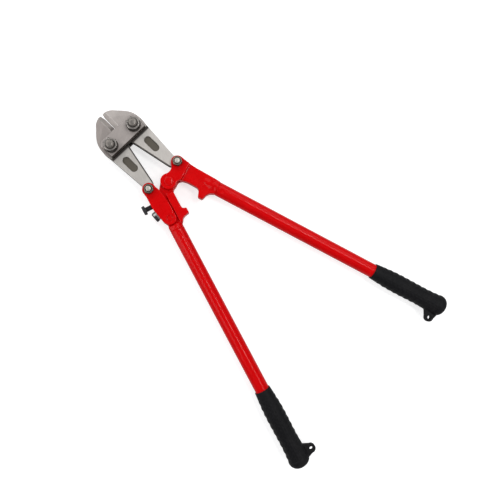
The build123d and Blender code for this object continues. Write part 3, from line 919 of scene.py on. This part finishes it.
# Threads: the radius is the outer one less the depth times a triangle wave of height over pitch less turn
def threadRings(angles, radius, pitch, start, end, depth):
    heights = np.arange(start, end, pitch / 8)[:, None]
    phase = np.mod(heights / pitch - angles[None, :] / (2 * math.pi), 1.0)
    wave = np.clip(np.abs(phase * 2 - 1) * 1.25 - 0.12, 0.0, 1.0)
    fade = smoothStep(heights, start, start + pitch) * (1 - smoothStep(heights, end - pitch, end - pitch / 8))
    return profileRings(radius - depth * wave * fade, heights + 0 * angles, angles)


def buildBolt(name, node, local, setup):
    angles = np.linspace(0, 2 * math.pi, setup["around"], endpoint=False)
    ones = np.ones_like(angles)
    radius, crown = setup["radius"], setup["crown"]
    head = hexRings(
        angles, setup["flats"], setup["headLow"], setup["headHigh"], 0.95, radius, True, False
    )[1:]
    shank = [
        profileRings(radius * ones, h * ones, angles) for h in (
            setup["headHigh"] + 0.05, setup["threadStart"] - 0.05
        )
    ]
    threadEnd = setup["end"] - crown - setup["lead"]
    thread = list(
        threadRings(angles, radius, setup["pitch"], setup["threadStart"], threadEnd, setup["depth"])
    )
    # the end narrows by its lead, then rises to a low crown as a quarter of an ellipse
    top = radius - setup["lead"]
    turns = np.linspace(0.0, math.pi / 2, 9)[:-1]
    foot = setup["end"] - crown
    crownRings = [
        profileRings(top * math.cos(t) * ones, (foot + crown * math.sin(t)) * ones, angles) for t in turns
    ]
    piece = ringSurface(name, np.array(head + shank + thread + crownRings), local)
    end = len(piece.data.vertices) - 1
    last = readPoints(piece.data)
    last[end] = outOfFrame(np.array([[0.0, 0.0, setup["end"]]]), local)[0]
    writePoints(piece.data, last)
    piece.data.set_sharp_from_angle(angle=math.radians(35))
    return standFor(piece, [node], setup["finish"])


# A split spring washer: a rounded square section carried round the bolt, with a slanted gap
def buildSpringWasher(name, node, local, setup):
    turns = np.linspace(setup["gap"] / 2, 2 * math.pi - setup["gap"] / 2, 97)
    corner = 0.28
    low, high, inner, outer = setup["low"], setup["high"], setup["inner"], setup["outer"]
    section = np.array([
        (outer - corner, low), (outer, low + corner), (outer, high - corner), (outer - corner, high),
        (inner + corner, high), (inner, high - corner), (inner, low + corner), (inner + corner, low),
    ])
    slant = setup["slant"] * (section[:, 1] - (low + high) / 2)
    angles = turns[:, None] + slant[None, :] + setup["turn"]
    rings = np.stack(
        [section[:, 0] * np.cos(angles), section[:, 0] * np.sin(angles), section[:, 1] + 0 * angles], axis=-1
    )
    piece = ringSurface(name, rings[::-1], local)
    piece.data.set_sharp_from_angle(angle=math.radians(40))
    return standFor(piece, [node], setup["finish"])


jawNut = {
    "around": 120, "flats": 18.0, "low": 30.0, "high": 37.5, "cut": 0.95, "bore": 6.05, "slot": "dark_steel",
    "finish": "nutSteel",
}
jawBolt = {
    "around": 96, "flats": 18.0, "headLow": 0.0, "headHigh": 6.4, "radius": 6.0, "threadStart": 29.0,
    "end": 43.0,
    "lead": 0.55, "crown": 1.5, "pitch": 1.75, "depth": 0.55, "slot": "dark_steel", "finish": "jawBoltSteel",
}
jawWasher = {
    "low": 27.62, "high": 29.98, "inner": 6.25, "outer": 10.35, "gap": 0.13, "slant": 0.06, "turn": 4.2,
    "slot": "dark_steel", "finish": "washerSteelShaded",
}
tailNut = {
    "around": 120, "flats": 13.0, "high": 6.5, "cut": 0.93, "bore": 4.05, "slot": "plated_steel",
    "finish": "tailNutSteel",
}
tailBolt = {
    "around": 72, "flats": 13.0, "headHigh": 0.0, "radius": 4.0, "threadStart": 0.0, "end": 36.3,
    "lead": 0.4, "crown": 0.8, "pitch": 1.25, "depth": 0.45, "slot": "plated_steel",
    "finish": "tailBoltSteel",
}
for side, sign in (("left", -1), ("right", 1)):
    jawPlace, tailPlace = (sign * 22.2, 92.8), (sign * 28.8, 11.4)
    buildNut(f"jawNut_{side}", f"jaw_nut_{side}", jawPlace, jawNut)
    buildBolt(f"jawBolt_{side}", f"jaw_bolt_{side}", atPlace(jawPlace), jawBolt)
    ownWasher = {**jawWasher, "turn": jawWasher["turn"] * sign}
    buildSpringWasher(f"springWasher_{side}", f"jaw_washer_{side}", atPlace(jawPlace), ownWasher)
    nutLow, nutHigh = (c.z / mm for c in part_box(f"tail_nut_{side}"))
    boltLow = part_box(f"tail_bolt_{side}")[0].z / mm
    buildNut(f"tailNut_{side}", f"tail_nut_{side}", tailPlace, {**tailNut, "low": nutLow, "high": nutHigh})
    buildBolt(
        f"tailBolt_{side}", f"tail_bolt_{side}", atPlace(tailPlace),
        {**tailBolt, "headLow": boltLow, "headHigh": boltLow + 5.3, "threadStart": nutLow - 0.5},
    )
print("bolts, nuts and washers finished")


# Adjusting bolt and lock bolt, screwed in through the arm's web; both point into the left handle end
def screwFrame(seat, slopeX, slopeY):
    left = handles["left"]
    along = left["x"] * slopeX + left["y"] * slopeY
    into = left["y"] * slopeX - left["x"] * slopeY
    origin = left["origin"] + left["x"] * seat[0] + left["y"] * seat[1]
    # z runs into the handle, x along the web and y completes a right-handed set
    return {"origin": origin, "x": along, "y": np.cross(into, along), "z": into}


slopeLength = math.hypot(24.5, 5.3)
slope = (24.5 / slopeLength, 5.3 / slopeLength)
pushFrame = screwFrame((20.6, -17.7), 1.0, 0.0)
lockFrame = screwFrame((36.0, -17.7 + 11.0 * 5.3 / 24.5), *slope)
pushBolt = {
    "around": 72, "flats": 12.0, "headLow": -13.7, "headHigh": -9.2, "radius": 3.78, "threadStart": -9.0,
    "end": 5.95,
    "lead": 0.6, "crown": 0.5, "pitch": 1.25, "depth": 0.5, "slot": "black_oxide", "finish": "blackOxide",
}
lockBolt = {
    "around": 72, "flats": 12.0, "headLow": -6.7, "headHigh": -1.9, "radius": 3.9, "threadStart": -1.7,
    "end": 3.1,
    "lead": 0.5, "crown": 0.3, "pitch": 1.25, "depth": 0.3, "slot": "black_oxide", "finish": "blackOxide",
}
lockCup = {
    "around": 120, "low": -1.88, "high": -0.02, "wall": 3.6, "inner": 4.15, "outer": 6.25, "wallInner": 6.98,
    "wallOuter": 7.75,
}


# A locking cup: a flat ring whose rim is folded up over the half of the head that faces the push bolt
def buildLockCup(name, node, local, setup):
    turns = np.linspace(0, 2 * math.pi, setup["around"], endpoint=False)
    fold = smoothStep(-np.cos(turns), 0.02, 0.2)
    outer = setup["outer"] + (setup["wallOuter"] - setup["outer"]) * fold
    mid = outer - (setup["wallOuter"] - setup["wallInner"])
    rim = setup["low"] - 0.01 - setup["wall"] * fold
    inner, low, high = (np.full_like(turns, setup[k]) for k in ("inner", "low", "high"))
    radii = np.stack([inner, mid, mid, outer, outer, inner], axis=-1)
    heights = np.stack([low, low, rim, rim, high, high], axis=-1)
    angles = turns[:, None]
    rings = np.stack([radii * np.cos(angles), radii * np.sin(angles), heights], axis=-1)
    piece = ringSurface(name, rings[::-1], local, closeLoop=True)
    piece.data.set_sharp_from_angle(angle=math.radians(35))
    return standFor(piece, [node], "zincSteel")


buildBolt("pushBolt", "adjusting_bolt", pushFrame, pushBolt)
buildBolt("lockBolt", "lock_bolt", lockFrame, lockBolt)
buildLockCup("lockCup", "lock_washer", lockFrame, lockCup)
print("adjusting screws finished")


# Tubes: outer wall, mouth and inner wall as rings along the handle, staked down by dents near the knuckle
tubeShape = {"radius": 10.5, "bore": 8.8, "start": 67.0, "end": 447.0, "around": 96, "lip": 0.35}


def buildTube(side, setup, dents):
    around = np.linspace(0, 2 * math.pi, setup["around"], endpoint=False)
    start, end, lip, radius = setup["start"], setup["end"], setup["lip"], setup["radius"]
    near = np.linspace(start + 0.7, start + 24.0, 48)
    outerX = np.concatenate([[start, start + lip * 0.35, start + lip], near, [160, 250, 320, end]])
    outerR = np.concatenate([[radius - lip, radius - lip * 0.3, radius], np.full(len(near) + 4, radius)])
    x = np.broadcast_to(outerX[:, None], (len(outerX), len(around)))
    depth = np.zeros_like(x)
    for spot, turn, width, sink in dents:
        beside = (np.mod(around - turn + math.pi, 2 * math.pi) - math.pi) * radius
        depth = depth + sink * np.exp(-(((x - spot) / width) ** 2) - (beside / width) ** 2)
    r = outerR[:, None] - depth
    outer = np.stack([x, r * np.cos(around), r * np.sin(around)], axis=-1)
    bore = np.array([[end, setup["bore"]], [start, setup["bore"]]])
    inner = np.stack(
        [bore[:, :1] + 0 * around, bore[:, 1:] * np.cos(around), bore[:, 1:] * np.sin(around)], axis=-1
    )
    piece = ringSurface(
        f"tube_{side}_finished", np.concatenate([outer, inner]), handles[side], closeLoop=True
    )
    piece.data.set_sharp_from_angle(angle=math.radians(40))
    storeEdge(piece.data, np.zeros(len(piece.data.vertices)))
    return standFor(piece, [f"tube_{side}"], "tubeRed")


up = math.pi / 2
buildTube("left", tubeShape, [(74.0, up - 0.08, 2.6, 0.7), (74.0, up + math.pi, 2.6, 0.7)])
buildTube("right", tubeShape, [(73.0, up + 0.25, 2.6, 0.7), (73.0, up + math.pi, 2.6, 0.7)])
print("tubes finished")


# Turned pins: a profile of radius and height carried round the axis
rivetShape = {
    "place": (0.0, 0.0), "around": 96, "head": 6.9, "foot": 4.5, "low": 6.2, "high": 27.8, "top": 29.3,
    "shank": 5.0,
}
armPin = {"around": 72, "radius": 4.0, "low": 6.5, "high": 27.5, "dome": 0.4}


def buildRivet(setup):
    angles = np.linspace(0, 2 * math.pi, setup["around"], endpoint=False)
    ones = np.ones_like(angles)
    t = np.linspace(0, 1, 12)
    # the foot swells to the head as a quarter wave, and the dome is a quarter ellipse with hammered facets
    footR = setup["foot"] + (setup["head"] - setup["foot"]) * np.sin(t * math.pi / 2)
    footZ = setup["low"] * t ** 1.4
    rise = np.linspace(0.0, math.pi / 2, 20)[:-1]
    headR, headZ = setup["head"] * np.cos(rise), setup["high"] + (setup["top"] - setup["high"]) * np.sin(rise)
    facets = 1 - 0.035 * np.abs(np.sin(angles * 4 + 0.6))[None, :] * np.sin(rise * 2)[:, None]
    rings = [profileRings(r * ones, z * ones, angles) for r, z in zip(footR, footZ)]
    rings += [
        profileRings(setup["shank"] * ones, z * ones, angles) for z in (
            setup["low"] + 0.02, setup["high"] - 0.02
        )
    ]
    rings += list(profileRings(headR[:, None] * facets, headZ[:, None] + 0 * angles, angles))
    piece = ringSurface("pivotRivet", np.array(rings), atPlace(setup["place"]))
    tip = readPoints(piece.data)
    tip[-1] = [setup["place"][0] * mm, setup["place"][1] * mm, setup["top"] * mm]
    writePoints(piece.data, tip)
    piece.data.set_sharp_from_angle(angle=math.radians(45))
    storeEdge(piece.data, np.zeros(len(piece.data.vertices)))
    return standFor(piece, ["pivot_rivet"], "forgedRed")


def buildArmPin(setup):
    angles = np.linspace(0, 2 * math.pi, setup["around"], endpoint=False)
    ones = np.ones_like(angles)
    low, high, radius, dome = setup["low"], setup["high"], setup["radius"], setup["dome"]
    rise = np.linspace(0.0, math.pi / 2, 10)[:-1]
    under = [(radius * math.cos(t), low + dome - dome * math.sin(t)) for t in rise[::-1]]
    over = [(radius * math.cos(t), high - dome + dome * math.sin(t)) for t in rise]
    rings = [profileRings(r * ones, z * ones, angles) for r, z in under + over]
    left = handles["left"]
    centre = left["origin"] + left["x"] * 48.5 + left["y"] * -2.0
    piece = ringSurface("armPin", np.array(rings), atPlace(centre[:2]))
    piece.data.set_sharp_from_angle(angle=math.radians(45))
    storeEdge(piece.data, np.zeros(len(piece.data.vertices)))
    return standFor(piece, ["arm_pivot_pin"], "forgedRed")


buildRivet(rivetShape)
buildArmPin(armPin)
print("rivet and pin finished")
